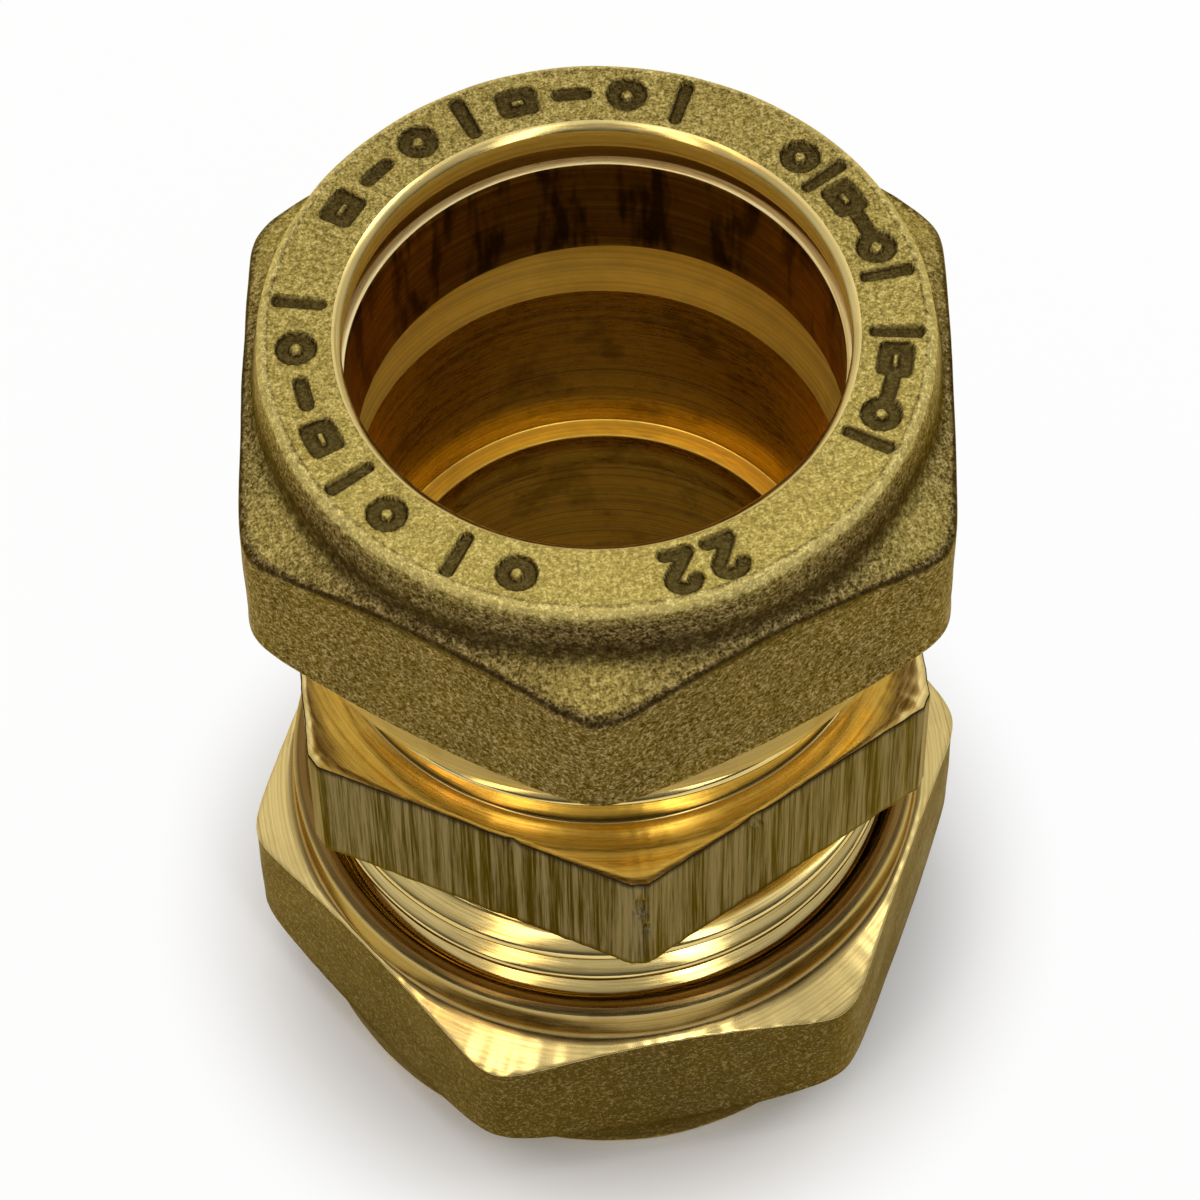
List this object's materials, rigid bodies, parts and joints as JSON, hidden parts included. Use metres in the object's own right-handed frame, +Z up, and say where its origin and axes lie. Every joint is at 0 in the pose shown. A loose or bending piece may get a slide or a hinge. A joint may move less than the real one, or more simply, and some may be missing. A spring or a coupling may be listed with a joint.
{
  "type": "straight compression coupling",
  "caption": "Straight compression coupling that joins two round tubes end to end: hexagonal body with threaded ends, tube sockets, olives and screwed nuts.",
  "frame": {"origin": "centre of the lower nut's closed end face, which the coupling stands on", "axes": "+Z up along the tube axis, from the lower nut to the upper nut; the body's hexagon has corners towards +Y and -Y"},
  "size_m": [0.0352, 0.0352, 0.0486],
  "materials": {
    "turned_brass": "bright turned, drawn streaks on the hexagon",
    "forged_brass": "shot-blasted forging skin, bright where turned",
    "olive_brass": "dull turned with stains"
  },
  "bodies": {
    "lower_nut": {"lower_nut": "forged_brass"},
    "lower_olive": {"lower_olive": "olive_brass"},
    "coupling_body": {"coupling_body": "turned_brass"},
    "upper_olive": {"upper_olive": "olive_brass"},
    "upper_nut": {"upper_nut": "forged_brass"}
  },
  "joints": [
    {"name": "lower_lift", "type": "slide", "parent": "lower_nut", "child": "lower_olive", "axis": [0, 0, 1], "range_m": [-0.0015, 0.0045]},
    {"name": "lower_turn", "type": "hinge", "parent": "lower_olive", "child": "coupling_body", "pos_m": [0, 0, 0.02475], "axis": [0, 0, 1], "range_deg": [-270, 810]},
    {"name": "upper_lift", "type": "slide", "parent": "coupling_body", "child": "upper_olive", "axis": [0, 0, 1], "range_m": [-0.0015, 0.0045]},
    {"name": "upper_turn", "type": "hinge", "parent": "upper_olive", "child": "upper_nut", "pos_m": [0, 0, 0.0414], "axis": [0, 0, 1], "range_deg": [-270, 810]}
  ],
  "couplings": [
    {"joint": "lower_lift", "follows": "lower_turn", "m_per_rad": 0.00031831},
    {"joint": "upper_lift", "follows": "upper_turn", "m_per_rad": 0.00031831}
  ]
}
